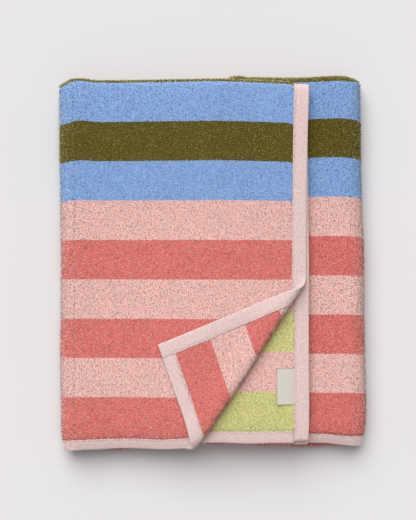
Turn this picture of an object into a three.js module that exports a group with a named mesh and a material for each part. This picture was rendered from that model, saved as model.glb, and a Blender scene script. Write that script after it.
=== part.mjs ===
import * as THREE from 'three';

// A bath towel, folded to a quarter of its length and then to a third of its width like a letter, with one
// corner of its top layer turned back. Sizes are in millimetres, with +Z up and the underside on Z = 0.
//
// Every piece starts flat. There, u runs across the towel from the long edge that ends up on top, v runs along
// it from the short end that ends up on top (end A) to the other one (end B), and t runs up through its
// thickness from the middle of the cloth. The piece is scored along the fold lines and then taken through four
// steps: turnBack lifts the loose corner over, quarterFold lays the length in four layers, letterFold lays the
// width in three panels, and settle lets the stack sag.

// The cloth and what is sewn to it
const clothThickness = 2.8;
const layerPitch = 3.5;
const stripeWidth = 37.7;
const stripeCount = 36;
const bindingWidth = 14;
const tapeThickness = 0.6;
const seamGap = 0.3;
const hemSlope = 0.6;
const labelWidth = 16;
const labelLength = 34.3;
const labelThickness = 0.5;
const labelFromEndB = 37.6;

// The folded stack, in plan: x of the folds and edges of the three panels, y of the folds and ends of the
// four layers as first laid, and how far the whole is then moved to stand over the origin
const leftFoldX = -146.7;
const rightFoldX = 146.7;
const freeEdgeX = 92.1;
const hiddenEdgeX = -0.5;
const backFoldY = 178.3;
const endAY = -178.1;
const midFoldY = -173.7;
const endBY = -171;
const leftFoldRadius = 15.6;
const rightFoldRadius = 13.65;
const moveX = -1.1;
const moveY = -1.8;

// The turned-back corner: how far the crease lies from the corner, which way it runs, and how the flap lies
const creaseDistance = 95.96;
const creaseAngle = THREE.MathUtils.degToRad(33.6);
const flapHeight = 3.9;
const flapDescent = 26;
const flapReach = 0.955;
const flapSkew = 0.07;

// Sizes that follow from those
const halfCloth = clothThickness / 2;
const stackThickness = 3 * layerPitch + clothThickness;
const halfHem = halfCloth - tapeThickness - seamGap;
const hemInset = tapeThickness + seamGap;
const towelLength = 2 * bindingWidth + stripeCount * stripeWidth;
const outerBend = 1.5 * layerPitch;
const innerBend = layerPitch / 2;
const backY = backFoldY - outerBend - halfCloth;

// Where the layers end at the front, by how far across the towel: the fold in the middle of the length, the
// short end B, how far end A stands back, and how far its hem curls down, in degrees
const frontEnds = [
  { u: 0, midFold: -171.5, endB: -167.6, endA: 0.5, curl: 30 },
  { u: 22, midFold: -172.0, endB: -169.6, endA: 0.5, curl: 30 },
  { u: 56, midFold: -172.8, endB: -170.6, endA: 0.5, curl: 30 },
  { u: 111, midFold: -171.6, endB: -169.8, endA: 0.5, curl: 30 },
  { u: 121, midFold: -170.2, endB: -167.5, endA: 0.5, curl: 30 },
  { u: 136, midFold: -169.4, endB: -166.0, endA: -0.7, curl: 60 },
  { u: 151, midFold: -169.4, endB: -166.0, endA: -2.0, curl: 90 },
  { u: 190, midFold: -169.4, endB: -166.0, endA: -2.6, curl: 95 },
  { u: 223, midFold: -169.4, endB: -166.0, endA: -3.5, curl: 90 },
  { u: 251, midFold: -177.3, endB: -168.0, endA: 1.5, curl: 0 },
  { u: 290, midFold: -179.0, endB: -171.5, endA: 1.0, curl: 0 },
  { u: 310, midFold: -177.0, endB: -171.5, endA: 2.0, curl: 0 },
  { u: 375, midFold: -174.3, endB: -170.5, endA: 4.0, curl: 0 },
  { u: 430, midFold: -175.6, endB: -171.5, endA: 0.0, curl: 0 },
  { u: 476, midFold: -176.9, endB: -171.5, endA: 2.0, curl: 0 },
  { u: 515, midFold: -176.3, endB: -171.5, endA: 2.0, curl: 0 },
  { u: 538, midFold: -168.5, endB: -165.0, endA: -2.2, curl: 85 },
  { u: 560, midFold: -168.5, endB: -165.0, endA: -2.2, curl: 105 },
  { u: 671, midFold: -168.5, endB: -165.0, endA: -2.2, curl: 110 },
];
const curlLength = 12;
const endReach = 70;

// How far each panel has slipped towards the back
const panelSlip = [
  { u: 0, slip: 0 },
  { u: 515, slip: 0 },
  { u: 538, slip: 3.8 },
  { u: 671, slip: 3.8 },
];

// How far the back fold is drawn in
const backPull = [
  { u: 0, pull: 5.0 },
  { u: 14, pull: 4.6 },
  { u: 18, pull: 2.2 },
  { u: 47, pull: 0.8 },
  { u: 66, pull: 0 },
  { u: 93, pull: -0.6 },
  { u: 197, pull: -0.6 },
  { u: 212, pull: -2.2 },
  { u: 221, pull: -2.2 },
  { u: 229, pull: 2.8 },
  { u: 240, pull: 3.3 },
  { u: 252, pull: 2 },
  { u: 310, pull: 1 },
  { u: 515, pull: 0.5 },
  { u: 528, pull: 2.5 },
  { u: 534, pull: 1.8 },
  { u: 540, pull: -0.8 },
  { u: 560, pull: -0.7 },
  { u: 590, pull: 0.4 },
  { u: 638, pull: 0 },
  { u: 656, pull: 4.5 },
  { u: 671, pull: 5.5 },
];

// How far the side folds stand to the right of their places
const sideWander = [
  { y: -185, left: 1.5, right: -0.5 },
  { y: -165, left: 0.3, right: 0.6 },
  { y: -150, left: 0, right: 2.2 },
  { y: -125, left: 0, right: 2.5 },
  { y: -85, left: -0.8, right: 1.6 },
  { y: -40, left: 0.5, right: 1.2 },
  { y: 10, left: 0.8, right: 1.6 },
  { y: 60, left: 0.5, right: -0.3 },
  { y: 100, left: 0, right: -1 },
  { y: 190, left: 0, right: -1.2 },
];

// How far the left corner of the back fold is filled out
const backCorner = { fromY: 171, overY: 8, fromX: -112, overX: 26, reach: 4.5 };

// How far each layer's edge stands out at the free side and at the hidden side
const edgeWander = [
  { v: 0, free: -2.4, hidden: 0.6 },
  { v: 165, free: -2.5, hidden: -0.5 },
  { v: 240, free: -1.5, hidden: 0.4 },
  { v: 316, free: 0.9, hidden: 0.8 },
  { v: 350, free: 2.4, hidden: 0.2 },
  { v: 530, free: -1.4, hidden: -0.6 },
  { v: 705, free: -0.5, hidden: 0.5 },
  { v: 880, free: 0.6, hidden: -0.4 },
  { v: 1045, free: 0.9, hidden: 0.3 },
  { v: 1210, free: 0.4, hidden: 0.6 },
  { v: 1386, free: -0.6, hidden: -0.3 },
];
const wanderReach = 60;

// The top of the top panel, which eases down to the left of the panel folded in beneath it
const topPanel = [
  { x: -131.1, top: 2 * leftFoldRadius },
  { x: -105, top: 29.8 },
  { x: -85, top: 30.3 },
  { x: -59, top: 33.0 },
  { x: -29, top: 37.4 },
  { x: -0.5, top: 41.5 },
  { x: 45, top: 41.6 },
  { x: 92.1, top: 41.3 },
];

// The share of its height that the stack keeps, less towards the front and the back
const settled = [
  { y: -190, height: 0.88 },
  { y: -178, height: 0.9 },
  { y: -165, height: 0.95 },
  { y: -150, height: 0.982 },
  { y: -125, height: 1 },
  { y: 145, height: 1 },
  { y: 163, height: 0.985 },
  { y: 178, height: 0.95 },
  { y: 190, height: 0.93 },
];
const lean = 0.006;

// The roll of the crease, by the place along it: it opens out where it meets the stiff side binding
const creaseRoll = [
  { along: -70, radius: 3.7 },
  { along: 100, radius: 3.7 },
  { along: 150, radius: 4.8 },
];

// Reads a column of a table at a place given in another column, with straight lines between the rows.
function read(table, column, key, place) {
  let row = 1;
  while (row < table.length - 1 && table[row][key] < place) row += 1;
  const before = table[row - 1];
  const after = table[row];
  const share = THREE.MathUtils.clamp((place - before[key]) / (after[key] - before[key]), 0, 1);
  return THREE.MathUtils.lerp(before[column], after[column], share);
}

// A smooth step from 0 to 1
function eased(share) {
  return THREE.MathUtils.smoothstep(share, 0, 1);
}

// The three panels across the width: where each stretch starts in u, and its length there
const leftCentreX = leftFoldX + leftFoldRadius;
const rightCentreX = rightFoldX - rightFoldRadius;
const panels = {
  top: freeEdgeX - leftCentreX,
  leftFold: Math.PI * (leftFoldRadius - stackThickness / 2),
  bottom: rightCentreX - leftCentreX,
  rightFold: Math.PI * (rightFoldRadius - stackThickness / 2),
  right: rightCentreX - hiddenEdgeX,
};
const leftFoldU = panels.top;
const bottomU = leftFoldU + panels.leftFold;
const rightFoldU = bottomU + panels.bottom;
const rightU = rightFoldU + panels.rightFold;
const towelWidth = rightU + panels.right;

// The four layers along the length. The fold between the two inner layers lies where the length runs out.
const midFoldCentre = midFoldY + innerBend + halfCloth;
const outerFoldV = backY - endAY;
const outerFoldLength = Math.PI * outerBend;
const innerFoldLength = Math.PI * innerBend;
const lowerLayer = backY - midFoldCentre;
const innerLayers = towelLength - outerFoldV - outerFoldLength - lowerLayer - 2 * innerFoldLength;
const innerFoldY = (innerLayers + midFoldCentre + endBY) / 2;
const lowerLayerV = outerFoldV + outerFoldLength;
const midFoldV = lowerLayerV + lowerLayer;
const innerLayerV = midFoldV + innerFoldLength;
const innerFoldV = innerLayerV + innerFoldY - midFoldCentre;
const lastLayerV = innerFoldV + innerFoldLength;

// Turns the corner back over the crease: g is the distance from the corner square to the crease, e the place
// along it. The cloth follows a roll, then comes down onto the layer it lies on.
function turnBack([u, v, t]) {
  const cos = Math.cos(creaseAngle);
  const sin = Math.sin(creaseAngle);
  const g = u * cos + v * sin;
  const e = v * cos - u * sin;
  const past = creaseDistance - g;
  if (past <= 0) return [u, v, t];
  const radius = read(creaseRoll, 'radius', 'along', e);
  const angle = Math.min(past / radius, Math.PI);
  const beyond = Math.max(past - Math.PI * radius, 0);
  const descent = (1 - Math.cos(Math.PI * Math.min(beyond / flapDescent, 1))) / 2;
  const height = radius - (radius - t) * Math.cos(angle) - (2 * radius - flapHeight) * descent;
  const turnedG = creaseDistance - (radius - t) * Math.sin(angle) + flapReach * beyond;
  const turnedE = e + flapSkew * beyond;
  return [turnedG * cos - turnedE * sin, turnedG * sin + turnedE * cos, height];
}

// One flat layer, from one y to another. Depth is measured down from the stack's outer face.
function flatLayer(share, fromY, toY, depth, up, t) {
  return { y: THREE.MathUtils.lerp(fromY, toY, share), depth: depth - up * t };
}

// One fold about a centre: way is +1 at the back and -1 at the front, down is +1 where it leads to a deeper
// layer, and outside is +1 where the cloth's upper face is the outer one.
function roundFold(angle, centreY, centreDepth, radius, { way, down, outside }, t) {
  const reach = radius + outside * t;
  return {
    y: centreY + way * reach * Math.sin(angle),
    depth: centreDepth - down * reach * Math.cos(angle),
  };
}

// Lays the length in four layers: A on top, under it the layer that ends in B, then the two that join them.
function quarterFold([u, v, t]) {
  const midDepth = stackThickness / 2;
  const foldY = read(frontEnds, 'midFold', 'u', u) + innerBend + halfCloth;
  const lowDepth = midDepth + outerBend;
  const endShift = read(frontEnds, 'endA', 'u', u) * (1 - eased(v / endReach));
  if (v < curlLength) {
    const run = curlLength - v;
    const turn = THREE.MathUtils.degToRad(read(frontEnds, 'curl', 'u', u)) / curlLength;
    const angle = Math.max(turn * run, 1e-6);
    const along = run * Math.sin(angle) / angle;
    const fall = run * (1 - Math.cos(angle)) / angle;
    return {
      y: endAY + endShift + curlLength - along - t * Math.sin(angle),
      depth: halfCloth + fall - t * Math.cos(angle),
    };
  }
  if (v < outerFoldV) return { y: endAY + endShift + v, depth: halfCloth - t };
  if (v < lowerLayerV) {
    const angle = (v - outerFoldV) / outerBend;
    return roundFold(angle, backY, midDepth, outerBend, { way: 1, down: 1, outside: 1 }, t);
  }
  if (v < midFoldV) return flatLayer((v - lowerLayerV) / lowerLayer, backY, foldY, lowDepth, -1, t);
  if (v < innerLayerV) {
    const angle = (v - midFoldV) / innerBend;
    const centreDepth = lowDepth - innerBend;
    return roundFold(angle, foldY, centreDepth, innerBend, { way: -1, down: -1, outside: 1 }, t);
  }
  if (v < innerFoldV) {
    const share = (v - innerLayerV) / (innerFoldV - innerLayerV);
    return flatLayer(share, foldY, innerFoldY, midDepth + innerBend, 1, t);
  }
  if (v < lastLayerV) {
    const angle = (v - innerFoldV) / innerBend;
    return roundFold(angle, innerFoldY, midDepth, innerBend, { way: 1, down: -1, outside: -1 }, t);
  }
  const share = (v - lastLayerV) / (towelLength - lastLayerV);
  const endY = read(frontEnds, 'endB', 'u', u);
  return flatLayer(share, innerFoldY, endY, midDepth - innerBend, -1, t);
}

// Lays the width in three panels: the right one is folded in first, and the top one lies over it.
function letterFold(u, v, { y, depth }) {
  const pulled = read(backPull, 'pull', 'u', u) * Math.max(y, 0) / backFoldY;
  const slipped = y + read(panelSlip, 'slip', 'u', u) - pulled;
  const freeShare = Math.max(1 - u / wanderReach, 0);
  const hiddenShare = Math.max(1 - (towelWidth - u) / wanderReach, 0);
  if (u < leftFoldU) {
    const x = freeEdgeX - u + freeShare * read(edgeWander, 'free', 'v', v);
    return new THREE.Vector3(x, slipped, read(topPanel, 'top', 'x', x) - depth);
  }
  if (u < bottomU) {
    const angle = Math.PI * (u - leftFoldU) / panels.leftFold;
    const reach = leftFoldRadius - depth;
    const z = leftFoldRadius + reach * Math.cos(angle);
    return new THREE.Vector3(leftCentreX - reach * Math.sin(angle), slipped, z);
  }
  if (u < rightFoldU) return new THREE.Vector3(leftCentreX + u - bottomU, slipped, depth);
  if (u < rightU) {
    const angle = Math.PI * (u - rightFoldU) / panels.rightFold;
    const reach = rightFoldRadius - depth;
    const z = rightFoldRadius - reach * Math.cos(angle);
    return new THREE.Vector3(rightCentreX + reach * Math.sin(angle), slipped, z);
  }
  const x = rightCentreX - (u - rightU) - hiddenShare * read(edgeWander, 'hidden', 'v', v);
  return new THREE.Vector3(x, slipped, 2 * rightFoldRadius - depth);
}

// Lets the stack sag towards its front and back and lean a little, moves its side folds, and fills out the
// left corner of its back fold.
function settle({ x, y, z }) {
  const filled = -backCorner.reach * eased((y - backCorner.fromY) / backCorner.overY)
    * eased((backCorner.fromX - x) / backCorner.overX);
  const moved = eased((-x - 60) / 80) * read(sideWander, 'left', 'y', y)
    + eased((x - 60) / 80) * read(sideWander, 'right', 'y', y);
  return new THREE.Vector3(x + moveX + filled + moved - lean * y, y + moveY, z * read(settled, 'height', 'y', y));
}

function fold(flatPoint) {
  const turned = turnBack(flatPoint);
  return settle(letterFold(turned[0], turned[1], quarterFold(turned)));
}

// Evenly spaced places over a stretch, its two ends included
function spaced(from, to, count) {
  return Array.from({ length: count + 1 }, (_, i) => from + (to - from) * i / count);
}

// The lines along which the flat pieces bend, each as the points where a·u + b·v = c
function foldLines() {
  const across = [
    18, 32,
    ...topPanel.map((row) => freeEdgeX - row.x).filter((u) => u > 0 && u < leftFoldU),
    66, 107, 136, 212,
    ...spaced(leftFoldU, bottomU, 7),
    290, 310, 375, 430, 476,
    ...spaced(rightFoldU, rightU, 7),
    560, 590, towelWidth - wanderReach, 638,
  ];
  const sagged = settled.map((row) => row.y).filter((y) => y > endAY + bindingWidth && y < innerFoldY);
  const stations = [...sagged, -40, 55];
  const topStations = [-137, -107, -90, -72, -22];
  const along = [
    ...spaced(0, curlLength, 3),
    ...[...stations, ...topStations].map((y) => y - endAY),
    ...spaced(outerFoldV, lowerLayerV, 6),
    ...stations.map((y) => lowerLayerV + backY - y),
    ...spaced(midFoldV, innerLayerV, 4),
    ...stations.map((y) => innerLayerV + y - midFoldCentre),
    ...spaced(innerFoldV, lastLayerV, 4),
    ...stations.map((y) => lastLayerV + innerFoldY - y),
  ];
  const roll = creaseRoll[0].radius;
  const turned = [
    ...spaced(0, Math.PI * roll, 7),
    ...spaced(Math.PI * roll, Math.PI * roll + flapDescent, 4),
  ];
  return [
    ...across.map((c) => ({ a: 1, b: 0, c })),
    ...along.map((c) => ({ a: 0, b: 1, c })),
    ...turned.map((past) => ({
      a: Math.cos(creaseAngle),
      b: Math.sin(creaseAngle),
      c: creaseDistance - past,
    })),
  ];
}

// Splits every face that a line crosses in two.
function score(faces, { a, b, c }) {
  const touching = 1e-4;
  return faces.flatMap((face) => {
    const sides = face.map(([u, v]) => a * u + b * v - c);
    if (Math.max(...sides) < touching || Math.min(...sides) > -touching) return [face];
    const near = [];
    const far = [];
    face.forEach((point, i) => {
      const next = (i + 1) % face.length;
      if (sides[i] < touching) near.push(point);
      if (sides[i] > -touching) far.push(point);
      const crossed = Math.min(Math.abs(sides[i]), Math.abs(sides[next])) > touching
        && sides[i] * sides[next] < 0;
      if (crossed) {
        const share = sides[i] / (sides[i] - sides[next]);
        const split = point.map((value, k) => THREE.MathUtils.lerp(value, face[next][k], share));
        near.push(split);
        far.push(split);
      }
    });
    return [near, far];
  });
}

// Folds a flat solid, given as convex faces, and turns its faces outwards.
function foldedGeometry(flatFaces) {
  const scored = foldLines().reduce(score, flatFaces);
  const triangles = scored.flatMap((face) => {
    const points = face.map(fold);
    return points.slice(2).map((point, i) => [points[0], points[i + 1], point]);
  });
  const volume = triangles.reduce((sum, [p, q, r]) => sum + p.dot(q.clone().cross(r)) / 6, 0);
  const ordered = triangles.map(([p, q, r]) => (volume > 0 ? [p, q, r] : [p, r, q]));
  return new THREE.BufferGeometry().setFromPoints(ordered.flat());
}

// A flat sheet as nested rectangles, from its underside's middle, round its edge, to its top's middle
function sheetFaces(from, to, rings) {
  const corners = ({ inset, t }) => [
    [from.u + inset, from.v + inset, t],
    [to.u - inset, from.v + inset, t],
    [to.u - inset, to.v - inset, t],
    [from.u + inset, to.v - inset, t],
  ];
  const loops = rings.map(corners);
  const walls = loops.slice(1).flatMap((outer, k) => outer.map((_, i) => {
    const next = (i + 1) % 4;
    return [loops[k][i], loops[k][next], outer[next], outer[i]];
  }));
  return [[...loops[0]].reverse(), ...walls, loops[loops.length - 1]];
}

// A tape folded over an edge: its section is a U, open inwards, carried from one place along the edge to
// another. The function place turns (distance in from the edge, place along it, t) into (u, v, t).
function tapeFaces(from, to, place) {
  const inner = halfCloth - tapeThickness;
  const outside = [[bindingWidth, -halfCloth], [0, -halfCloth], [0, halfCloth], [bindingWidth, halfCloth]];
  const inside = [[bindingWidth, -inner], [tapeThickness, -inner], [tapeThickness, inner], [bindingWidth, inner]];
  const section = [...outside, ...inside.reverse()];
  const at = ([inwards, t], along) => place(inwards, along, t);
  const walls = section.map((point, i) => {
    const next = section[(i + 1) % section.length];
    return [at(point, from), at(next, from), at(next, to), at(point, to)];
  });
  const caps = outside.slice(1).flatMap((_, i) => {
    const face = [outside[i], outside[i + 1], section[6 - i], section[7 - i]];
    return [face.map((p) => at(p, from)).reverse(), face.map((p) => at(p, to))];
  });
  return [...walls, ...caps];
}

const terryMaterial = new THREE.MeshStandardMaterial({ color: 0xe1b2ab, roughness: 0.95, metalness: 0 });
const tapeMaterial = new THREE.MeshStandardMaterial({ color: 0xe3cac6, roughness: 0.85, metalness: 0 });
const labelMaterial = new THREE.MeshStandardMaterial({ color: 0xe6e0d6, roughness: 0.8, metalness: 0 });

const towel = new THREE.Group();

function add(name, flatFaces, material) {
  const mesh = new THREE.Mesh(foldedGeometry(flatFaces), material);
  mesh.name = name;
  towel.add(mesh);
}

// The cloth, with its thin hem all round
add('towel_cloth', sheetFaces({ u: 0, v: 0 }, { u: towelWidth, v: towelLength }, [
  { inset: bindingWidth + seamGap + hemSlope, t: -halfCloth },
  { inset: bindingWidth + seamGap, t: -halfHem },
  { inset: hemInset, t: -halfHem },
  { inset: hemInset, t: halfHem },
  { inset: bindingWidth + seamGap, t: halfHem },
  { inset: bindingWidth + seamGap + hemSlope, t: halfCloth },
]), terryMaterial);

// The four lengths of binding: the side tapes run to the corners, and the end tapes stop short of them
const endTapeFrom = bindingWidth + seamGap;
const endTapeTo = towelWidth - endTapeFrom;
add('binding_outer_side', tapeFaces(0, towelLength, (inwards, along, t) => [inwards, along, t]), tapeMaterial);
add('binding_inner_side', tapeFaces(0, towelLength, (inwards, along, t) => [
  towelWidth - inwards, along, t,
]), tapeMaterial);
add('binding_end_a', tapeFaces(endTapeFrom, endTapeTo, (inwards, along, t) => [along, inwards, t]), tapeMaterial);
add('binding_end_b', tapeFaces(endTapeFrom, endTapeTo, (inwards, along, t) => [
  along, towelLength - inwards, t,
]), tapeMaterial);

// The label, on the cloth's lower face beside the side tape, which the folding turns up
const labelFace = -halfCloth - seamGap;
add('label', sheetFaces(
  { u: endTapeFrom, v: towelLength - labelFromEndB - labelLength },
  { u: endTapeFrom + labelWidth, v: towelLength - labelFromEndB },
  [{ inset: 0, t: labelFace - labelThickness }, { inset: 0, t: labelFace }],
), labelMaterial);

export default towel;
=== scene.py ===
import math

import bpy
import numpy as np
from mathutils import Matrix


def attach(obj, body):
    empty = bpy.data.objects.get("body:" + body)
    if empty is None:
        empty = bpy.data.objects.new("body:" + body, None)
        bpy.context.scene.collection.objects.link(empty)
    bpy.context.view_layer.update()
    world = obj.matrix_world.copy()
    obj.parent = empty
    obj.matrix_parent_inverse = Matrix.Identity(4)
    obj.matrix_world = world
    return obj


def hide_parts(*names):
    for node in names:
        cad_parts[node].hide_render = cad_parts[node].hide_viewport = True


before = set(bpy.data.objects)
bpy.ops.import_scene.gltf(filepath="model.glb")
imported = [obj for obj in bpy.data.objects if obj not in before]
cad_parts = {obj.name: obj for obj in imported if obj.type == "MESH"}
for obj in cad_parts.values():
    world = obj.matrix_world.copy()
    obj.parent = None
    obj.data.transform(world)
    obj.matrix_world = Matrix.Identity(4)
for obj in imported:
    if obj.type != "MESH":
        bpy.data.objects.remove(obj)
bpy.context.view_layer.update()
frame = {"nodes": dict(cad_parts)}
print("frame loaded:", ", ".join(frame["nodes"]))

# A bath towel, folded to a quarter of its length and then in three panels like a letter, with one corner of
# its top layer turned back. Sizes in the dictionaries are millimetres; meshes are made in metres.
# Flat cloth is given by u across the towel from the long edge that ends up on top, v along it from the short
# end that ends up on top, and t up through its thickness from the middle of the cloth.
metre = 0.001
chance = np.random.default_rng(41)

towel = {
    "thickness": 2.8, "pitch": 3.5, "stripe": 37.7, "stripes": 36, "binding": 14.0,
    "endBinding": 11.5, "stripEnd": 12.0, "stripEndOver": 3.0, "stripBack": 2.0,
    "leftFoldX": -146.7, "rightFoldX": 146.7, "freeEdgeX": 92.1, "hiddenEdgeX": -0.5,
    "backFoldY": 178.3, "endAY": -178.1, "leftRadius": 15.6, "rightRadius": 13.65,
    "midFoldY": -173.7, "endBY": -171.0, "curlLength": 20.0, "wanderReach": 60.0, "endReach": 70.0,
    "sideFrom": 60.0, "sideOver": 80.0, "frontFrom": 120.0, "frontOver": 60.0, "topHeight": 42.0,
    "lean": 0.006, "moveX": -1.1, "moveY": -1.8,
}

corner = {
    "distance": 95.96, "angle": math.radians(33.6), "height": 3.9, "descent": 26.0,
    "reach": 0.955, "skew": 0.07, "bend": 6.0, "bendStart": -34.0, "bendLength": 64.0,
}

# where the layers end at the front, how far end A stands back, and how far its hem curls down, in degrees
frontEnds = {
    "u": [0, 22, 56, 75, 107, 117, 145, 190, 205, 224, 238, 277, 283, 297, 303, 340, 363, 392, 419, 439, 467,
          485, 494, 515, 527, 538, 552, 560, 671],
    "midFold": [-171.5, -172, -172.8, -172, -171.6, -170, -169.4, -169.4, -169.4, -169.4, -177.3, -177.6,
                -179.6, -179.6, -177, -176.5, -174.3, -174.3, -175.6, -175.6, -176.9, -176.9, -175.5, -176.3,
                -172, -168.5, -168.5, -168.5, -168.5],
    "endB": [-169.6, -169.6, -170.6, -170.1, -169.8, -166.5, -164.5, -164.5, -164.5, -164.5, -168, -171.5,
             -171.5, -171.5, -171.5, -171.5, -170.5, -170.5, -171.5, -171.5, -171.5, -171.5, -171.5, -171.5,
             -168, -164, -164, -164, -164],
    "endA": [0, 0, 0, 0, 0.6, 3.2, 1.0, 1.4, 0.5, -0.2, -2.1, 1.5, 1, 1, 2, 2, 4, 4, 0, 0, 2,
             2, 2, 2, 1.3, -0.3, 0.6, 2.0, 3.1],
    "curl": [0, 0, 0, 0, 5, 12, 18, 18, 18, 15, 5, 0, 0, 0, 0, 0, 0, 0, 0, 0, 0, 0, 0, 0, 10, 28, 30,
             30, 34],
}

# how far each panel has slipped towards the back
panelSlip = {"u": [0, 515, 538, 671], "slip": [0, 0, 3.8, 3.8]}

# how far the back fold is drawn in
backPull = {
    "u": [0, 13, 18, 40, 66, 82, 205, 213, 221, 227, 231, 240, 252, 300, 515, 528, 535, 539, 545, 562,
          575, 590, 636, 641, 650, 657, 660, 671],
    "pull": [5, 4.6, 2.2, 1.0, 0, -0.6, -0.6, -2.4, -2.6, 1.4, 2.6, 3.0, 2, 1, 0.5, 0.8, -0.2, -0.9,
             -1.3, -0.7, 0.2, 0.4, 0, -1.4, -1.4, 3, 5, 5.5],
}

# how far the side folds stand to the right of their places
sideWander = {
    "y": [-185, -165, -155, -135, -85, -40, 10, 60, 100, 190],
    "left": [1.5, 0.3, -0.3, 0, -0.8, 0.5, 0.8, 0.5, 0, 0],
    "right": [-0.5, 0.6, 2, 2.6, 1.6, 1.2, 1.6, -0.3, -1, -1.2],
}

# how far the corners of the back fold are filled out
backCorner = {"from": 171.0, "over": 8.0, "fromSide": 112.0, "overSide": 26.0, "left": 5.5, "right": 1.0}

# how far each layer's edge stands out at the free side and at the hidden side
edgeWander = {
    "v": [0, 165, 240, 316, 350, 530, 705, 880, 1045, 1210, 1386],
    "free": [-2.4, -2.5, -1.5, 0.9, 2.4, -1.4, -0.5, 0.6, 0.9, 0.4, -0.6],
    "hidden": [0.6, -0.5, 0.4, 0.8, 0.2, -0.6, 0.5, -0.4, 0.3, 0.6, -0.3],
}

# the top of the top panel, which eases down beside the panel folded in beneath it
topPanel = {
    "x": [-150, -131.1, -105, -85, -59, -29, -0.5, 45, 92.1],
    "top": [31.2, 31.2, 29.8, 30.3, 33.0, 37.4, 41.5, 41.6, 41.3],
}

# the share of its height that the stack keeps, less towards the front and the back
settled = {
    "y": [-190, -178, -165, -150, -125, 145, 163, 178, 190],
    "height": [0.88, 0.9, 0.95, 0.982, 1, 1, 0.985, 0.95, 0.93],
}

# the roll of the crease, by the place along it
creaseRoll = {"along": [-70, 100, 150], "radius": [3.7, 3.7, 4.8]}


# a table's column on a one-millimetre grid, averaged over a window so that its corners are rounded
def softened(table, column, key, window):
    low, high = table[key][0] - 2 * window, table[key][-1] + 2 * window
    places = np.arange(low, high, 1.0)
    values = np.interp(places, table[key], table[column])
    weights = np.hanning(2 * int(window) + 3)
    ends = len(weights) // 2
    padded = np.pad(values, ends, mode="edge")
    return places, np.convolve(padded, weights / weights.sum(), mode="valid")


curves = {
    "midFold": softened(frontEnds, "midFold", "u", 5),
    "endB": softened(frontEnds, "endB", "u", 5),
    "endA": softened(frontEnds, "endA", "u", 8),
    "curl": softened(frontEnds, "curl", "u", 8),
    "slip": softened(panelSlip, "slip", "u", 8),
    "pull": softened(backPull, "pull", "u", 3),
    "left": softened(sideWander, "left", "y", 12),
    "right": softened(sideWander, "right", "y", 12),
    "free": softened(edgeWander, "free", "v", 15),
    "hidden": softened(edgeWander, "hidden", "v", 15),
    "top": softened(topPanel, "top", "x", 12),
    "height": softened(settled, "height", "y", 6),
    "radius": softened(creaseRoll, "radius", "along", 20),
}


def read(name, place):
    return np.interp(place, *curves[name])


# a smooth step from 0 to 1
def eased(share):
    share = np.clip(share, 0, 1)
    return share * share * (3 - 2 * share)


half = towel["thickness"] / 2
stack = 3 * towel["pitch"] + towel["thickness"]
outerBend = 1.5 * towel["pitch"]
innerBend = towel["pitch"] / 2
towelLength = 2 * towel["binding"] + towel["stripe"] * towel["stripes"]
backY = towel["backFoldY"] - outerBend - half
leftX = towel["leftFoldX"] + towel["leftRadius"]
rightX = towel["rightFoldX"] - towel["rightRadius"]

# where each stretch starts: across the width, then along the length
leftFoldU = towel["freeEdgeX"] - leftX
bottomU = leftFoldU + math.pi * (towel["leftRadius"] - stack / 2)
rightFoldU = bottomU + rightX - leftX
rightU = rightFoldU + math.pi * (towel["rightRadius"] - stack / 2)
towelWidth = rightU + rightX - towel["hiddenEdgeX"]

midFoldY = towel["midFoldY"] + innerBend + half
outerFoldV = backY - towel["endAY"]
lowerLayerV = outerFoldV + math.pi * outerBend
midFoldV = lowerLayerV + backY - midFoldY
innerLayerV = midFoldV + math.pi * innerBend
spare = towelLength - innerLayerV - math.pi * innerBend
innerFoldY = (spare + midFoldY + towel["endBY"]) / 2
innerFoldV = innerLayerV + innerFoldY - midFoldY
lastLayerV = innerFoldV + math.pi * innerBend


def creaseBend(e):
    return corner["bend"] * eased((corner["bendStart"] - e) / corner["bendLength"])


# The corner turned back. With g the distance from the corner square to the crease and e the place along it,
# the cloth past the crease first follows a roll of the given radius, then comes down in half a cosine wave
# to the height at which it lies on the layer below. Near the hem the crease bends away in a smooth step.
def turnBack(u, v, t):
    cos, sin = math.cos(corner["angle"]), math.sin(corner["angle"])
    e = v * cos - u * sin
    g = u * cos + v * sin - creaseBend(e)
    past = corner["distance"] - g
    radius = read("radius", e)
    angle = np.clip(past / radius, 0, math.pi)
    beyond = np.maximum(past - math.pi * radius, 0)
    descent = (1 - np.cos(math.pi * np.minimum(beyond / corner["descent"], 1))) / 2
    height = radius - (radius - t) * np.cos(angle) - (2 * radius - corner["height"]) * descent
    turnedG = corner["distance"] - (radius - t) * np.sin(angle) + corner["reach"] * beyond
    turnedE = e + corner["skew"] * beyond
    turnedG = turnedG + creaseBend(turnedE)
    isTurned = past > 0
    return (
        np.where(isTurned, turnedG * cos - turnedE * sin, u),
        np.where(isTurned, turnedG * sin + turnedE * cos, v),
        np.where(isTurned, height, t),
    )


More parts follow.
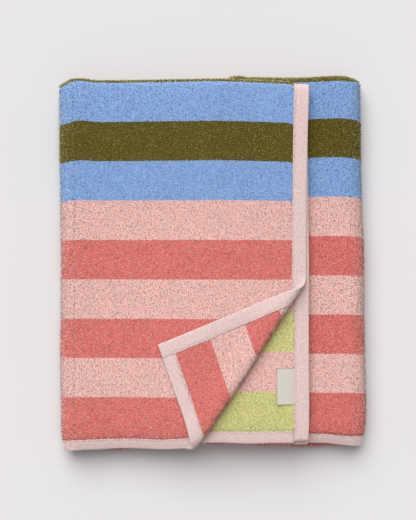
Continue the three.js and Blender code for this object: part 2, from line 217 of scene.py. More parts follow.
# Four layers from the length, as y and the depth below the stack's outer face. A flat layer runs straight
# from one y to another at its own depth; a fold is centre plus radius times (sine, cosine) of the angle that
# its arc length gives; the last stretch of end A is an arc that curls down. At end B the strip beside the
# outer long side's tape stands back a little.
def quarterFold(u, v, t):
    mid, low = stack / 2, stack / 2 + outerBend
    foldY = read("midFold", u) + innerBend + half
    inStrip = 1 - eased((u - towel["stripEnd"]) / towel["stripEndOver"])
    endY = read("endB", u) + towel["stripBack"] * inStrip
    run = np.maximum(towel["curlLength"] - v, 0)
    curl = np.maximum(np.radians(read("curl", u)) / towel["curlLength"] * run, 1e-6)
    endShift = read("endA", u) * (1 - eased(v / towel["endReach"]))
    startY = towel["endAY"] + towel["curlLength"] + endShift
    outer = (v - outerFoldV) / outerBend
    middle = (v - midFoldV) / innerBend
    inner = (v - innerFoldV) / innerBend
    lowShare = (v - lowerLayerV) / (midFoldV - lowerLayerV)
    innerShare = (v - innerLayerV) / (innerFoldV - innerLayerV)
    lastShare = (v - lastLayerV) / (towelLength - lastLayerV)
    tests = [
        v < towel["curlLength"], v < outerFoldV, v < lowerLayerV, v < midFoldV,
        v < innerLayerV, v < innerFoldV, v < lastLayerV,
    ]
    y = np.select(tests, [
        startY - run * np.sin(curl) / curl - t * np.sin(curl),
        towel["endAY"] + v + endShift,
        backY + (outerBend + t) * np.sin(outer),
        backY + (foldY - backY) * lowShare,
        foldY - (innerBend + t) * np.sin(middle),
        foldY + (innerFoldY - foldY) * innerShare,
        innerFoldY + (innerBend - t) * np.sin(inner),
    ], innerFoldY + (endY - innerFoldY) * lastShare)
    depth = np.select(tests, [
        half + run * (1 - np.cos(curl)) / curl - t * np.cos(curl),
        half - t,
        mid - (outerBend + t) * np.cos(outer),
        low + t,
        low - innerBend + (innerBend + t) * np.cos(middle),
        mid + innerBend - t,
        mid + (innerBend - t) * np.cos(inner),
    ], mid - innerBend + t)
    return y, depth


# Three panels from the width: straight, round the left fold, straight, round the right fold and straight.
def letterFold(u, v, y, depth):
    y = y + read("slip", u) - read("pull", u) * np.maximum(y, 0) / towel["backFoldY"]
    freeShare = np.maximum(1 - u / towel["wanderReach"], 0)
    hiddenShare = np.maximum(1 - (towelWidth - u) / towel["wanderReach"], 0)
    topX = towel["freeEdgeX"] - u + freeShare * read("free", v)
    left = math.pi * (u - leftFoldU) / (bottomU - leftFoldU)
    right = math.pi * (u - rightFoldU) / (rightU - rightFoldU)
    leftReach, rightReach = towel["leftRadius"] - depth, towel["rightRadius"] - depth
    tests = [u < leftFoldU, u < bottomU, u < rightFoldU, u < rightU]
    x = np.select(tests, [
        topX,
        leftX - leftReach * np.sin(left),
        leftX + u - bottomU,
        rightX + rightReach * np.sin(right),
    ], rightX - (u - rightU) - hiddenShare * read("hidden", v))
    z = np.select(tests, [
        read("top", topX) - depth,
        towel["leftRadius"] + leftReach * np.cos(left),
        depth,
        towel["rightRadius"] - rightReach * np.cos(right),
    ], 2 * towel["rightRadius"] - depth)
    return x, y, z


# The stack sags to a share of its height and leans a little, its side folds wander, the corners at the back
# are filled out, and everything is uneven by a sum of slow waves.
def settle(x, y, z):
    spread = eased((y - backCorner["from"]) / backCorner["over"])
    atSide = eased((np.abs(x) - backCorner["fromSide"]) / backCorner["overSide"]) * spread
    onLeft = eased((-x - towel["sideFrom"]) / towel["sideOver"])
    onRight = eased((x - towel["sideFrom"]) / towel["sideOver"])
    x = x + onLeft * read("left", y) + onRight * read("right", y)
    x = x + atSide * np.where(x < 0, -backCorner["left"], backCorner["right"])
    lift = z / towel["topHeight"]
    waves = (
        0.35 * np.sin(x / 31 + 0.6) * np.sin(y / 47 + 1.9)
        + 0.22 * np.sin(x / 17 + y / 39 + 2.2)
        + 0.12 * np.sin(y / 13 - x / 29)
    )
    atFront = np.clip((-y - towel["frontFrom"]) / towel["frontOver"], 0, 1) ** 2
    ripple = atFront * (0.3 * np.sin(x / 19 + z / 5) + 0.25 * np.sin(x / 8.3 - z / 3 + 1))
    settledZ = z * read("height", y) + lift * waves
    settledX = x - towel["lean"] * y + towel["moveX"]
    return np.stack([settledX, y + ripple + towel["moveY"], settledZ], axis=-1)


# every step in turn, from millimetres on the flat towel to metres in the frame
def folded(u, v, t):
    turnedU, turnedV, turnedT = turnBack(*np.broadcast_arrays(u, v, t))
    y, depth = quarterFold(turnedU, turnedV, turnedT)
    return settle(*letterFold(turnedU, turnedV, y, depth)) * metre


print("towel flat: %.0f by %.0f mm" % (towelWidth, towelLength))

# the camera, straight above at the photograph's distance
view = {
    "x": -0.0045, "y": 0.0035, "height": 1.242, "pixelsPerRadian": 1263, "frameHeight": 520, "sensor": 36,
}

cameraData = bpy.data.cameras.new("camera")
cameraData.sensor_fit = "VERTICAL"
cameraData.sensor_height = view["sensor"]
cameraData.sensor_width = view["sensor"]
cameraData.lens = view["sensor"] * view["pixelsPerRadian"] / view["frameHeight"]
camera = bpy.data.objects.new("camera", cameraData)
camera.location = (view["x"], view["y"], view["height"])
bpy.context.collection.objects.link(camera)
bpy.context.scene.camera = camera


# sockets as numbers and colours: an operator adds the node that works it out
class Sock:
    def __init__(self, tree, link):
        self.tree = tree
        self.link = link

    # one node of any type, its settings first and then its inputs, by name or as i and their number
    def node(self, kind, settings=None, output=0, **inputs):
        made = self.tree.nodes.new(kind)
        for name, value in (settings or {}).items():
            setattr(made, name, value)
        for name, value in inputs.items():
            index = int(name[1:]) if name[0] == "i" and name[1:].isdigit() else name
            socket = made.inputs[index]
            if isinstance(value, Sock):
                self.tree.links.new(value.link, socket)
            else:
                socket.default_value = value
        return Sock(self.tree, made.outputs[output])

    def maths(self, operation, *values):
        settings = {"operation": operation}
        return self.node("ShaderNodeMath", settings, **{f"i{k}": value for k, value in enumerate(values)})

    def __add__(self, other):
        return self.maths("ADD", self, other)

    def __radd__(self, other):
        return self.maths("ADD", other, self)

    def __sub__(self, other):
        return self.maths("SUBTRACT", self, other)

    def __rsub__(self, other):
        return self.maths("SUBTRACT", other, self)

    def __mul__(self, other):
        return self.maths("MULTIPLY", self, other)

    def __rmul__(self, other):
        return self.maths("MULTIPLY", other, self)

    def __truediv__(self, other):
        return self.maths("DIVIDE", self, other)

    def __mod__(self, other):
        return self.maths("FLOORED_MODULO", self, other)

    def __pow__(self, other):
        return self.maths("POWER", self, other)

    def __gt__(self, other):
        return self.maths("GREATER_THAN", self, other)

    def floor(self):
        return self.maths("FLOOR", self)

    def sine(self):
        return self.maths("SINE", self)

    def mix(self, first, second):
        return self.node(
            "ShaderNodeMix", {"data_type": "RGBA"}, output=2, i0=self, i6=first, i7=second)

    def brighten(self, amount):
        return self.node(
            "ShaderNodeVectorMath", {"operation": "SCALE"}, i0=self, Scale=amount)

    # a UV map and its two parts as numbers
    def uvMap(self, name):
        uv = self.node("ShaderNodeUVMap", {"uv_map": name})
        parts = self.node("ShaderNodeSeparateXYZ", i0=uv)
        return uv, parts, Sock(self.tree, parts.link.node.outputs[1])


# what all of the cotton shares: a dull gloss, and how far red, green and blue light spread in it
cotton = {"specular": 0.2, "spread": (1.0, 0.7, 0.6), "spreadScale": 0.0012}


# a material with a Principled shader; paint gets the shader's node tree and gives the linked inputs
def makeMaterial(name, paint, roughness=0.9, sheen=0.0, soft=0.0):
    made = bpy.data.materials.new(name)
    made.use_nodes = True
    tree = made.node_tree
    shader = tree.nodes["Principled BSDF"]
    shader.inputs["Roughness"].default_value = roughness
    shader.inputs["Sheen Weight"].default_value = sheen
    shader.inputs["Specular IOR Level"].default_value = cotton["specular"]
    shader.inputs["Subsurface Weight"].default_value = soft
    shader.inputs["Subsurface Radius"].default_value = cotton["spread"]
    shader.inputs["Subsurface Scale"].default_value = cotton["spreadScale"]
    for socketName, value in paint(Sock(tree, None)).items():
        tree.links.new(value.link, shader.inputs[socketName])
    return made


# an sRGB colour out of 255 as linear light
def rgba(red, green, blue):
    values = np.array([red, green, blue]) / 255
    linear = np.where(values <= 0.04045, values / 12.92, ((values + 0.055) / 1.055) ** 2.4)
    return (*[float(value) for value in linear], 1.0)


yarn = {
    "coral": rgba(210, 124, 117), "pink": rgba(223, 185, 179), "blue": rgba(140, 168, 207),
    "olive": rgba(102, 91, 24), "lime": rgba(203, 199, 140),
}

# the pale colour that each yarn's stray fibres add, partly real fluff and partly a painted highlight
fluffAndHighlight = {
    "coral": rgba(255, 228, 224), "pink": rgba(150, 120, 116), "blue": rgba(200, 222, 250),
    "olive": rgba(200, 190, 112), "lime": rgba(170, 172, 148),
}

# the repeat of the stripes: two colours take turns in each set, and a set is six stripes
sets = {"repeat": 18, "coolFrom": 5.5, "freshFrom": 11.5}

# how the ground and the loops vary: random tints and patches, the painted shade at the loops' feet, and the
# painted highlights on bright loops and stray fibres
shading = {
    "grainScale": 900.0, "deepening": 1.25, "groundLow": 1.0, "groundRange": 0.3,
    "tintLow": 0.86, "tintRange": 0.28, "paintedFootShadeLow": 0.8, "paintedFootShadeRange": 0.2,
    "clumpScale": 420.0, "clumpLow": 0.48, "clumpRange": 1.04,
    "fluffScale": 800.0, "fluffFrom": 0.48, "fluffAdds": 0.6, "paintedLoopHighlight": 0.6,
}


# The stripe colour from v in metres: the stripe's number picks light or dark in its pair, and its place in
# a repeat of eighteen picks the pair.
def stripeColour(sock, v, shades):
    number = ((v - towel["binding"] * metre) / (towel["stripe"] * metre)).floor()
    number = sock.maths("MAXIMUM", sock.maths("MINIMUM", number, towel["stripes"] - 1.0), 0.0)
    odd = (number % 2) > 0.5
    repeat = number % sets["repeat"]
    warm = odd.mix(shades["coral"], shades["pink"])
    cool = odd.mix(shades["blue"], shades["olive"])
    fresh = odd.mix(shades["pink"], shades["lime"])
    return (repeat > sets["freshFrom"]).mix((repeat > sets["coolFrom"]).mix(warm, cool), fresh)


# the light between the loops has met the yarn twice, so the ground is deeper in colour
def paintGround(sock):
    uv, _, v = sock.uvMap("flat")
    grain = sock.node("ShaderNodeTexNoise", output=0, Vector=uv, Scale=shading["grainScale"], Detail=2.0)
    deep = sock.node("ShaderNodeGamma", Color=stripeColour(sock, v, yarn), Gamma=shading["deepening"])
    colour = deep.brighten(shading["groundLow"] + shading["groundRange"] * grain)
    bump = sock.node("ShaderNodeBump", Strength=0.6, Distance=0.0006, Height=grain)
    return {"Base Color": colour, "Normal": bump}


# Loops are painted darker at their feet, a painted shade for the depth of the pile, and each has its own
# tint. The yarn's colour is multiplied by that shade, and pale stray fibres are added in patches, with a
# painted highlight in bright loops; the piece's painted light adds highlight along the side folds and the
# back fold and painted shade on the right panel and its fold.
def paintPile(sock):
    root, _, v = sock.uvMap("flat")
    _, tint, rise = sock.uvMap("loop")
    _, paintedLight, _ = sock.uvMap("paintedLight")
    own = shading["tintLow"] + shading["tintRange"] * tint
    # painted shade: each loop is darker towards its feet
    foot = shading["paintedFootShadeLow"] + shading["paintedFootShadeRange"] * rise
    clump = sock.node("ShaderNodeTexNoise", output=0, Vector=root, Scale=shading["clumpScale"], Detail=1.0)
    fluff = sock.node("ShaderNodeTexNoise", output=0, Vector=root, Scale=shading["fluffScale"], Detail=1.0)
    stray = sock.maths("MAXIMUM", fluff - shading["fluffFrom"], 0.0)
    fluffAndPaintedLight = shading["paintedLoopHighlight"] * tint ** 2 + shading["fluffAdds"] * stray + paintedLight
    shade = own * foot * (shading["clumpLow"] + shading["clumpRange"] * clump)
    colour = sock.node(
        "ShaderNodeVectorMath", {"operation": "MULTIPLY_ADD"}, i0=stripeColour(sock, v, yarn),
        i1=shade, i2=stripeColour(sock, v, fluffAndHighlight).brighten(fluffAndPaintedLight))
    return {"Base Color": colour}


groundCloth = makeMaterial("groundCloth", paintGround, roughness=0.95, soft=0.5)
terryPile = makeMaterial("terryPile", paintPile, roughness=0.9, sheen=0.25, soft=0.6)
print("terry materials made")


# A mesh object from arrays of vertices and faces, with UV maps given for each vertex.
def makePiece(name, points, faces, material, uvs):
    mesh = bpy.data.meshes.new(name)
    mesh.vertices.add(len(points))
    mesh.vertices.foreach_set("co", np.ascontiguousarray(points, np.float32).ravel())
    sides = faces.shape[1]
    mesh.loops.add(faces.size)
    mesh.loops.foreach_set("vertex_index", np.ascontiguousarray(faces, np.int32).ravel())
    mesh.polygons.add(len(faces))
    mesh.polygons.foreach_set("loop_start", np.arange(0, faces.size, sides, dtype=np.int32))
    mesh.polygons.foreach_set("loop_total", np.full(len(faces), sides, np.int32))
    mesh.update(calc_edges=True)
    for uvName, values in uvs.items():
        layer = mesh.uv_layers.new(name=uvName)
        layer.data.foreach_set("uv", np.ascontiguousarray(values[faces.ravel()], np.float32).ravel())
    mesh.polygons.foreach_set("use_smooth", np.ones(len(faces), bool))
    mesh.materials.append(material)
    mesh.validate()
    piece = bpy.data.objects.new(name, mesh)
    bpy.context.collection.objects.link(piece)
    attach(piece, "root")
    print("%s: %d triangles" % (name, len(faces) * (sides - 2)))
    return piece


# Faces of a grid of rows by columns whose vertices are numbered row after row. The columns may close on
# themselves, and the face order may be turned round.
def gridFaces(rows, columns, closedColumns=False, flipped=False, start=0):
    row = np.arange(rows - 1)[:, None]
    column = np.arange(columns if closedColumns else columns - 1)[None, :]
    nextRow, nextColumn = row + 1, (column + 1) % columns
    corners = [row * columns + column, row * columns + nextColumn,
               nextRow * columns + nextColumn, nextRow * columns + column]
    faces = np.stack(corners, axis=-1).reshape(-1, 4) + start
    return faces[:, ::-1] if flipped else faces


# Faces of a closed sheet: two like grids, one above the other, joined round their rim.
def sheetFaces(rows, columns, flipped=False):
    count = rows * columns
    index = np.arange(count).reshape(rows, columns)
    loop = np.concatenate([index[:-1, 0], index[-1, :-1], index[:0:-1, -1], index[0, :0:-1]])
    after = np.roll(loop, -1)
    rim = np.stack([loop, after, after + count, loop + count], axis=-1)
    first = gridFaces(rows, columns, flipped=flipped)
    second = gridFaces(rows, columns, flipped=not flipped, start=count)
    return np.concatenate([first, second, rim if flipped else rim[:, ::-1]])


# places from start to end, each stretch at its own step
def graded(*stretches):
    runs = [
        np.linspace(start, end, max(int(round((end - start) / step)), 1), endpoint=False)
        for start, end, step in stretches]
    return np.concatenate([*runs, [stretches[-1][1]]])


# how much later in the weave the cloth is: where it has crept round the back fold, more so on the right
# panel, and near end B
creep = {
    "back": 0.6, "backFrom": 300.0, "backOver": 50.0, "right": 2.0, "rightFrom": 530.0, "rightOver": 8.0,
    "endB": -2.0, "endBFrom": 190.0, "endBOver": 40.0,
}


def stripeDrift(u, v):
    onRight = creep["right"] * eased((u - creep["rightFrom"]) / creep["rightOver"])
    atBack = eased((v - creep["backFrom"]) / creep["backOver"])
    atEndB = creep["endB"] * eased((v - towelLength + creep["endBFrom"]) / creep["endBOver"])
    return (creep["back"] + onRight) * atBack + atEndB


# the cloth's ground, the steps of its grid, and how far the parts reach where the grid is finer
ground = {
    "halfGround": 1.15, "halfHem": 0.45, "hemInset": 0.9, "seam": 0.3, "slope": 0.8,
    "fineStep": 2.5, "topStep": 5.0, "hiddenStep": 13.0, "bendStep": 1.6,
    "cornerU": 125, "cornerV": 185, "atEndB": 190, "strip": 50, "beforeFold": 20,
}


# Two surfaces at plus and minus the ground's half thickness, which thins in the hem with the distance from
# the nearest edge, over one grid of u and v, joined round the rim.
def makeGround():
    inset, fine, bend, hidden = (ground[key] for key in ("hemInset", "fineStep", "bendStep", "hiddenStep"))
    hemEnd = towel["binding"] + ground["seam"] + ground["slope"]
    stripEnd = rightU + ground["strip"]
    backStart = outerFoldV - ground["beforeFold"]
    endBStart = towelLength - ground["atEndB"]
    us = graded(
        (inset, hemEnd, 3), (hemEnd, ground["cornerU"], fine), (ground["cornerU"], leftFoldU, 6),
        (leftFoldU, bottomU, 2.2), (bottomU, rightFoldU, 12), (rightFoldU, rightU, 2.0),
        (rightU, stripEnd, 6), (stripEnd, towelWidth - hemEnd, 12),
        (towelWidth - hemEnd, towelWidth - inset, 5))
    vs = graded(
        (inset, hemEnd, 2), (hemEnd, ground["cornerV"], fine),
        (ground["cornerV"], backStart, ground["topStep"]), (backStart, outerFoldV, 3),
        (outerFoldV, lowerLayerV, bend), (lowerLayerV, midFoldV, hidden),
        (midFoldV, innerLayerV, bend / 2), (innerLayerV, innerFoldV, hidden),
        (innerFoldV, lastLayerV, bend / 2), (lastLayerV, endBStart, hidden),
        (endBStart, towelLength - hemEnd, 5), (towelLength - hemEnd, towelLength - inset, 3))
    u, v = np.meshgrid(us, vs, indexing="ij")
    narrower = towel["binding"] - towel["endBinding"]
    fromEdge = np.minimum(np.minimum(u, towelWidth - u), np.minimum(v, towelLength - v) + narrower)
    seamAt = towel["binding"] + ground["seam"]
    t = np.interp(fromEdge, [seamAt, seamAt + ground["slope"]], [ground["halfHem"], ground["halfGround"]])
    points = np.concatenate([folded(u, v, t).reshape(-1, 3), folded(u, v, -t).reshape(-1, 3)])
    flat = np.stack([u, v + stripeDrift(u, v)], axis=-1).reshape(-1, 2) * metre
    uvs = {"flat": np.concatenate([flat, flat])}
    return makePiece("towelGround", points, sheetFaces(*u.shape), groundCloth, uvs)


towelGround = makeGround()

# the loops: their places, shape, the painted highlight at the back fold and along the side folds, and how
# far each covered part reaches
pile = {
    "spacing": 1.5, "jitter": 0.32, "root": 0.85, "tip": 1.75, "tipSpread": 0.22, "halfSpan": 0.55,
    "lean": 0.4, "yarnRadius": 0.4, "footWidth": 0.8, "apexWidth": 1.15, "footSwing": 0.7, "footFlat": 0.5,
    "floorGap": 1.2, "stray": 0.6, "shortOfTape": 0.9, "strip": 48,
    "backPaintedHighlight": 0.2, "leftPaintedHighlight": 0.1, "rightPaintedHighlight": 0.07, "paintedHighlightReach": 5.0,
}


# How many millimetres short of the crease a point lies, and where a point of the top layer under the
# turned-back corner would come from, as (u, v) of the flap above it.
def aboveCrease(u, v):
    cos, sin = math.cos(corner["angle"]), math.sin(corner["angle"])
    g, e = u * cos + v * sin, v * cos - u * sin
    beyond = (g - corner["distance"]) / corner["reach"]
    sourceG = corner["distance"] - beyond - math.pi * creaseRoll["radius"][0]
    sourceE = e - corner["skew"] * beyond
    return g - corner["distance"], sourceG * cos - sourceE * sin, sourceG * sin + sourceE * cos


# Terry loops over a stretch of cloth. Each is a yarn of three sides bent over an apex: foot, apex and foot
# lie along its own heading, the apex leans its own way, and the rings of three points stand round them. All
# of it is laid out flat and folded with the cloth.
def makeLoops(name, uSpan, vSpan, side, keep, uSqueeze=1.0, paintedLight=0.0):
    stepU, stepV = pile["spacing"] * uSqueeze, pile["spacing"]
    u, v = np.meshgrid(np.arange(*uSpan, stepU), np.arange(*vSpan, stepV), indexing="ij")
    offset = (np.arange(u.shape[1]) % 2) * 0.5
    jitter = pile["jitter"]
    u = (u + (offset + chance.uniform(-jitter, jitter, u.shape)) * stepU).ravel()
    v = (v + chance.uniform(-jitter, jitter, v.shape) * stepV).ravel()
    wanted = keep(u, v) & (folded(u, v, side * half + 0 * u)[:, 2] > pile["floorGap"] * metre)
    u, v = u[wanted], v[wanted]
    count = len(u)
    heading = chance.uniform(0, 2 * math.pi, count)
    along = np.stack([np.cos(heading) * uSqueeze, np.sin(heading)], axis=-1)
    sideways = np.stack([-np.sin(heading) * uSqueeze, np.cos(heading)], axis=-1)
    lean = chance.normal(0, pile["lean"], (count, 2)) * [uSqueeze, 1]
    tip = pile["tip"] + chance.normal(0, pile["tipSpread"], count)
    middle = np.stack([u, v], axis=-1)
    rings = []
    for step, spread in ((-1, pile["footWidth"]), (0, pile["apexWidth"]), (1, pile["footWidth"])):
        centre = middle + along * step * pile["halfSpan"] + (lean if step == 0 else 0)
        height = tip if step == 0 else np.full(count, pile["root"])
        for turn in (90, 210, 330):
            out = math.cos(math.radians(turn)) * pile["yarnRadius"] * spread
            up = math.sin(math.radians(turn)) * pile["yarnRadius"] * spread
            swing = along * (-step * pile["footSwing"] * up)
            t = side * (height + up * (1 - pile["footFlat"] * abs(step)))
            rings.append(np.concatenate([centre + sideways * out + swing, t[:, None]], axis=-1))
    flatPoints = np.stack(rings, axis=1)
    points = folded(flatPoints[..., 0], flatPoints[..., 1], flatPoints[..., 2]).reshape(-1, 3)
    one = gridFaces(3, 3, closedColumns=True, flipped=side < 0)
    faces = (one[None] + 9 * np.arange(count)[:, None, None]).reshape(-1, 4)
    stripeAt = middle + chance.normal(0, pile["stray"], middle.shape)
    stripeAt[:, 1] += stripeDrift(u, v)
    root = np.repeat(stripeAt * metre, 9, axis=0)
    # painted highlight: the loops are painted lighter along the middle of each side fold and over the back
    # fold, on top of the piece's own painted light or shade
    leftNear, rightNear = (u - leftRim) / pile["paintedHighlightReach"], (u - rightRim) / pile["paintedHighlightReach"]
    rimPaintedHighlight = pile["leftPaintedHighlight"] * np.exp(-leftNear ** 2) + pile["rightPaintedHighlight"] * np.exp(-rightNear ** 2)
    backPaintedHighlight = pile["backPaintedHighlight"] * eased((v - outerFoldV - 1) / 3)
    paintedLightSum = np.repeat(paintedLight + backPaintedHighlight + rimPaintedHighlight, 9)
    rise = np.tile(np.repeat([0.0, 1.0, 0.0], 3), count)
    tint = np.repeat(chance.uniform(0, 1, count), 9)
    uvs = {"flat": root, "loop": np.stack([tint, rise], -1), "paintedLight": np.stack([paintedLightSum, paintedLightSum], -1)}
    return makePiece(name, points, faces, terryPile, uvs)


# the middle of each side fold, where a painted highlight runs along the loops, and where the pile ends at
# the tapes
leftRim = (leftFoldU + bottomU) / 2 - 2
rightRim = (rightFoldU + rightU) / 2 + 2
hemEnd = towel["binding"] - pile["shortOfTape"]
hemEndV = towel["endBinding"] - pile["shortOfTape"]
leftSqueeze = (bottomU - leftFoldU) / (math.pi * towel["leftRadius"])
rightSqueeze = (rightU - rightFoldU) / (math.pi * towel["rightRadius"])


# how far loops go on past the crease, under the flap, and towards the layer below, and the label's place
cover = {
    "pastCrease": 3, "underFlap": 6, "flapEdge": 5, "belowCrease": 5,
    "labelU": 29, "labelFrom": 40, "labelTo": 72,
}


# the top layer's outer face, short of the crease and not deep under the flap
def onTop(u, v):
    short, sourceU, sourceV = aboveCrease(u, v)
    deep = (short > cover["underFlap"]) & (sourceU > cover["flapEdge"]) & (sourceV > cover["flapEdge"])
    return (short > -cover["pastCrease"]) & ~deep


def onFlap(u, v):
    return aboveCrease(u, v)[0] < 0


def always(u, v):
    return u > -1


# the layer under the turned-back corner, where the top layer has turned away from over it, but for the
# label's place
def underCorner(u, v):
    aboveV = (1 - (v - lastLayerV) / (towelLength - lastLayerV)) * (innerFoldY - towel["endBY"])
    aboveV = aboveV + towel["endBY"] - towel["endAY"]
    fromEnd = towelLength - v
    underLabel = (u < cover["labelU"]) & (fromEnd > cover["labelFrom"]) & (fromEnd < cover["labelTo"])
    return (aboveCrease(u, aboveV)[0] < cover["belowCrease"]) & ~underLabel


# the top in three pieces, so that none is too large, then the folds, the right panel and the corner
frontEndV, middleEndV = outerFoldV * 0.42, outerFoldV * 0.7
topU, leftU, turnU = (hemEnd, leftFoldU), (leftFoldU, bottomU), (rightFoldU, rightU)
allV, backV = (hemEndV, lowerLayerV), (outerFoldV, lowerLayerV)
stripU = rightU + pile["strip"]
pilePieces = [
    makeLoops("pileTopFront", topU, (hemEndV, frontEndV), 1, onTop),
    makeLoops("pileTopMiddle", topU, (frontEndV, middleEndV), 1, onTop),
    makeLoops("pileTopBack", topU, (middleEndV, lowerLayerV), 1, onTop),
    makeLoops("pileLeftFold", leftU, allV, 1, always, leftSqueeze),
    # painted shade: the right fold and the right panel are painted darker than the top
    makeLoops("pileRightFold", turnU, allV, 1, always, rightSqueeze, -0.08),
    makeLoops("pileRightPanel", (rightU, stripU), allV, 1, always, paintedLight=-0.12),
    makeLoops("pileBackFold", (bottomU, rightFoldU), backV, 1, always),
    makeLoops("pileInnerBack", (stripU, towelWidth - hemEnd), backV, 1, always),
    makeLoops("pileMidFold", (hemEnd, towelWidth - hemEnd), (midFoldV - 2, innerLayerV - 1), 1, always),
    makeLoops("pileFlap", (hemEnd, 120), (hemEnd, 175), -1, onFlap),
    makeLoops("pileUnderCorner", (hemEnd, 125), (towelLength - 175, towelLength - hemEndV), -1, underCorner),
]

# the tapes' section, how end A's tape is narrower in front of the crease, and the stitches
binding = {
    "tape": 0.5, "half": 1.45, "groove": 0.28, "grooveIn": 1.8, "grooveWidth": 0.7, "edgeRound": 1.3,
    "widenOver": 3.0, "frontWidth": 10.4, "narrowFrom": 109, "narrowTo": 119,
    "stitchStep": 3.0, "stitchLength": 2.1, "stitchRadius": 0.24, "stitchRise": 0.16, "stitchWobble": 0.08,
    "ribs": 9000.0,
}


# woven tape: two crossing sets of fine ribs in the tape's own UV map
def paintTape(sock):
    uv, across, along = sock.uvMap("tape")
    ribs = (across * binding["ribs"]).sine() * (along * binding["ribs"]).sine()
    mottle = sock.node("ShaderNodeTexNoise", output=0, Vector=uv, Scale=420.0, Detail=3.0)
    base = mottle.mix(rgba(191, 155, 150), rgba(237, 217, 214))
    colour = base.brighten(0.96 + 0.07 * ribs)
    bump = sock.node("ShaderNodeBump", Strength=0.5, Distance=0.0002, Height=ribs * 0.5 + mottle)
    return {"Base Color": colour, "Normal": bump}


def paintThread(sock):
    coords = sock.node("ShaderNodeTexCoord", output=3)
    twist = sock.node("ShaderNodeTexNoise", output=0, Vector=coords, Scale=1500.0)
    return {"Base Color": twist.mix(rgba(205, 150, 146), rgba(226, 178, 173))}


wovenTape = makeMaterial("wovenTape", paintTape, roughness=0.8, sheen=0.35, soft=0.3)
seamThread = makeMaterial("seamThread", paintThread, roughness=0.7)


# The tape's section: in from the lip on the lower side, round the edge as half an ellipse, and back to the
# lip on the upper side, with the groove that the stitching pulls in. The inner wall is the same, one tape
# thickness in.
def tapeSection(width):
    flat = np.array([0.0, 1.0, 1.8, 2.6, 4.0, 6.0, 8.5])
    inwards = width - flat
    turn = np.radians(np.arange(-90, 91, 22.5))
    groove = binding["groove"] * np.exp(-((flat - binding["grooveIn"]) / binding["grooveWidth"]) ** 2)
    loops = []
    for shrink in (0.0, binding["tape"]):
        high = binding["half"] - shrink
        level = high - groove * (1 if shrink == 0 else 0.5)
        roundIn = binding["edgeRound"] * (1 - np.cos(turn)) + shrink * np.cos(turn)
        edge = np.stack([roundIn, high * np.sin(turn)], -1)
        lower = np.stack([inwards, -level], -1)
        upper = np.stack([inwards[::-1], level[::-1]], -1)
        loops.append(np.concatenate([lower, edge, upper]))
    return np.concatenate([loops[0], loops[1][::-1]])


# A tape carried along an edge: place turns (distance in from the edge, place along, t) into (u, v, t). Its
# lips wander by a sum of two slow waves.
def makeTape(name, node, places, width, place, flipped):
    section = tapeSection(towel["binding"])
    columns = len(section)
    wander = 0.18 * np.sin(places / 23) + 0.12 * np.sin(places / 9.1 + 2)
    narrower = (wander + width - towel["binding"])[:, None]
    inwards = section[None, :, 0] + narrower * np.clip(
        (section[None, :, 0] - binding["edgeRound"]) / binding["widenOver"], 0, 1)
    along = np.broadcast_to(places[:, None], inwards.shape)
    t = np.broadcast_to(section[None, :, 1], inwards.shape)
    points = folded(*place(inwards, along, t)).reshape(-1, 3)
    walls = gridFaces(len(places), columns, closedColumns=True, flipped=flipped)
    halfColumns = columns // 2
    lower = np.arange(halfColumns - 1)
    cap = np.stack([lower, lower + 1, columns - 2 - lower, columns - 1 - lower], -1)
    last = cap + (len(places) - 1) * columns
    caps = [cap, last[:, ::-1]] if flipped else [cap[:, ::-1], last]
    length = np.concatenate([[0], np.cumsum(np.linalg.norm(np.diff(section, axis=0), axis=1))])
    tapeUv = np.stack(np.broadcast_arrays(length[None, :], places[:, None]), -1).reshape(-1, 2) * metre
    faces = np.concatenate([walls, *caps])
    piece = makePiece(name, points, faces, wovenTape, {"tape": tapeUv})
    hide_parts(node)
    return piece


# Stitches along a tape's two lips: each is a short thread with a section of four sides that dips into the
# tape at both ends, as a half sine of its length.
def makeStitches(name, places, width, place):
    step = np.repeat(places, 2)
    side = np.tile([1.0, -1.0], len(places))
    reach = np.array([-0.5, -0.2, 0.2, 0.5])
    rise = np.cos(reach * math.pi)
    turn = np.radians([45, 135, 225, 315])
    radius = binding["stitchRadius"] * (0.5 + 0.5 * rise)
    wobble = chance.normal(0, binding["stitchWobble"], len(step))
    along = step[:, None, None] + (reach * binding["stitchLength"])[None, :, None] + 0 * turn
    inwards = (width - binding["grooveIn"] + wobble)[:, None, None] + (radius[:, None] * np.cos(turn))[None]
    level = binding["half"] - binding["groove"] * 0.75 + binding["stitchRise"] * rise
    t = side[:, None, None] * (level[:, None] + radius[:, None] * np.sin(turn))[None]
    inwards, along, t = np.broadcast_arrays(inwards, along, t)
    points = folded(*place(inwards, along, t)).reshape(-1, 3)
    one = gridFaces(4, 4, closedColumns=True)
    ends = np.array([[3, 2, 1, 0], [12, 13, 14, 15]])
    faces = (np.concatenate([one, ends])[None] + 16 * np.arange(len(step))[:, None, None]).reshape(-1, 4)
    uv = np.stack([t.ravel(), along.ravel()], -1) * metre
    return makePiece(name, points, faces, seamThread, {"tape": uv})


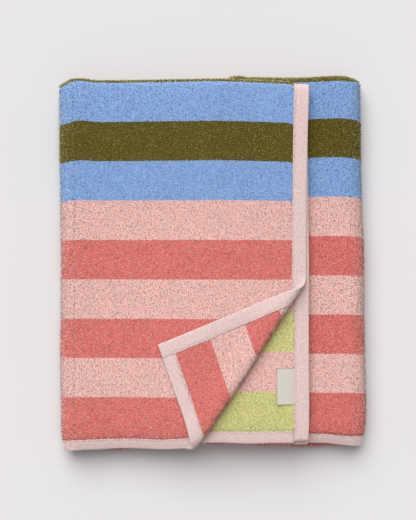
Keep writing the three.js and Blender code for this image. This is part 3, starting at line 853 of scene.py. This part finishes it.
# where the tapes have their sections: the end tapes stop short of the side tapes
endFrom = towel["binding"] + ground["seam"]
endTo = towelWidth - towel["binding"] - ground["seam"]
sidePlaces = graded(
    (0, 185, 1.8), (185, outerFoldV, 5), (outerFoldV, lowerLayerV, 1.4), (lowerLayerV, midFoldV, 12),
    (midFoldV, innerLayerV, 0.8), (innerLayerV, innerFoldV, 12), (innerFoldV, lastLayerV, 0.8),
    (lastLayerV, towelLength - 185, 8), (towelLength - 185, towelLength, 3))
endPlaces = graded(
    (endFrom, 125, 1.8), (125, leftFoldU, 4), (leftFoldU, bottomU, 1.6), (bottomU, rightFoldU, 6),
    (rightFoldU, rightU, 1.6), (rightU, endTo, 5))
endAWidths = np.interp(
    endPlaces, [binding["narrowFrom"], binding["narrowTo"]], [towel["binding"], binding["frontWidth"]])
hiddenPlaces = graded(
    (0, outerFoldV, 6), (outerFoldV, lowerLayerV, 2), (lowerLayerV, midFoldV, 14),
    (midFoldV, innerLayerV, 1.2), (innerLayerV, innerFoldV, 14), (innerFoldV, lastLayerV, 1.2),
    (lastLayerV, towelLength, 8))

# each tape: its node, its places, its width, how it lies along its edge, and which way its faces turn
tapes = {
    "bindingOuterSide": (
        "binding_outer_side", sidePlaces, towel["binding"], lambda d, s, t: (d, s, t), True),
    "bindingInnerSide": (
        "binding_inner_side", hiddenPlaces, towel["binding"], lambda d, s, t: (towelWidth - d, s, t), False),
    "bindingEndA": ("binding_end_a", endPlaces, endAWidths, lambda d, s, t: (s, d, t), False),
    "bindingEndB": (
        "binding_end_b", endPlaces, towel["endBinding"], lambda d, s, t: (s, towelLength - d, t), True),
}
for name, (node, places, width, place, flipped) in tapes.items():
    makeTape(name, node, places, width, place, flipped)
    if places is not hiddenPlaces:  # nothing of that tape's seam shows
        stitchPlaces = np.arange(places[0] + 3, places[-1] - 2, binding["stitchStep"])
        stitchName = name.replace("binding", "stitches")
        stitchWidths = np.interp(stitchPlaces, places, width + 0 * places)
        makeStitches(stitchName, stitchPlaces, np.repeat(stitchWidths, 2), place)

# the label, how far it is tucked under the tape, and how it stands off the cloth
label = {
    "width": 17.0, "length": 34.3, "fromEnd": 37.6, "thickness": 0.45, "tuck": 0.6,
    "base": 1.0, "rise": 0.75, "lift": 2.2, "bow": 0.25, "weave": 12000.0,
}


def paintLabel(sock):
    uv, across, along = sock.uvMap("label")
    weave = (across * label["weave"]).sine() * (along * label["weave"]).sine()
    mottle = sock.node("ShaderNodeTexNoise", output=0, Vector=uv, Scale=400.0)
    colour = mottle.mix(rgba(196, 189, 178), rgba(206, 200, 191)).brighten(0.98 + 0.03 * weave)
    bump = sock.node("ShaderNodeBump", Strength=0.4, Distance=0.00015, Height=weave)
    return {"Base Color": colour, "Normal": bump}


# A thin blank tab held at the tape. It rises out of the tape, bows a little, and stands off the cloth more
# towards its loose corner.
def makeLabel():
    across = np.linspace(0, 1, 25)[:, None]
    along = np.linspace(0, 1, 41)[None, :]
    u = towel["binding"] - label["tuck"] + label["width"] * across + 0 * along
    v = towelLength - label["fromEnd"] - label["length"] * (1 - along) + 0 * across
    rise = np.clip(across * 6, 0, 1) * label["rise"]
    lift = label["lift"] * across ** 1.5 * (0.25 + 0.75 * along ** 3)
    bow = label["bow"] * np.sin(across * math.pi) * np.sin(along * 5)
    base = -(label["base"] + rise + lift + bow)
    upper, lower = folded(u, v, base - label["thickness"]), folded(u, v, base)
    points = np.concatenate([upper.reshape(-1, 3), lower.reshape(-1, 3)])
    flat = np.stack([u, v], axis=-1).reshape(-1, 2) * metre
    uvs = {"label": np.concatenate([flat, flat])}
    blank = makeMaterial("labelWeave", paintLabel, roughness=0.75)
    piece = makePiece("blankLabel", points, sheetFaces(*u.shape, flipped=True), blank, uvs)
    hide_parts("label")
    return piece


labelPiece = makeLabel()

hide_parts("towel_cloth")
towelWidth * metre

# a plain pale floor, an even sky, and a soft window light; angles in degrees
studio = {
    "floor": rgba(213, 210, 211), "floorShade": rgba(210, 208, 209), "floorReach": 3.0,
    "ambient": 0.38, "sunStrength": 3.55, "sunAngle": 56, "sunTilt": 40, "sunTurn": 196,
}


def paintFloor(sock):
    coords = sock.node("ShaderNodeTexCoord", output=3)
    drift = sock.node("ShaderNodeTexNoise", output=0, Vector=coords, Scale=1.5)
    return {"Base Color": drift.mix(studio["floor"], studio["floorShade"])}


floorMesh = bpy.data.meshes.new("floor")
reach = studio["floorReach"]
floorCorners = [(-reach, -reach, 0), (reach, -reach, 0), (reach, reach, 0), (-reach, reach, 0)]
floorMesh.from_pydata(floorCorners, [], [(0, 1, 2, 3)])
floorMesh.materials.append(makeMaterial("paleFloor", paintFloor, roughness=0.95))
floor = bpy.data.objects.new("floor", floorMesh)
bpy.context.collection.objects.link(floor)

world = bpy.data.worlds.new("studio")
world.use_nodes = True
world.node_tree.nodes["Background"].inputs["Color"].default_value = (1, 1, 1, 1)
world.node_tree.nodes["Background"].inputs["Strength"].default_value = studio["ambient"]
bpy.context.scene.world = world

sunData = bpy.data.lights.new("windowLight", "SUN")
sunData.energy = studio["sunStrength"]
sunData.angle = math.radians(studio["sunAngle"])
sun = bpy.data.objects.new("windowLight", sunData)
sun.rotation_euler = (math.radians(studio["sunTilt"]), 0, math.radians(studio["sunTurn"]))
bpy.context.collection.objects.link(sun)
bpy.context.scene.view_settings.view_transform = "Standard"
print("studio lit")
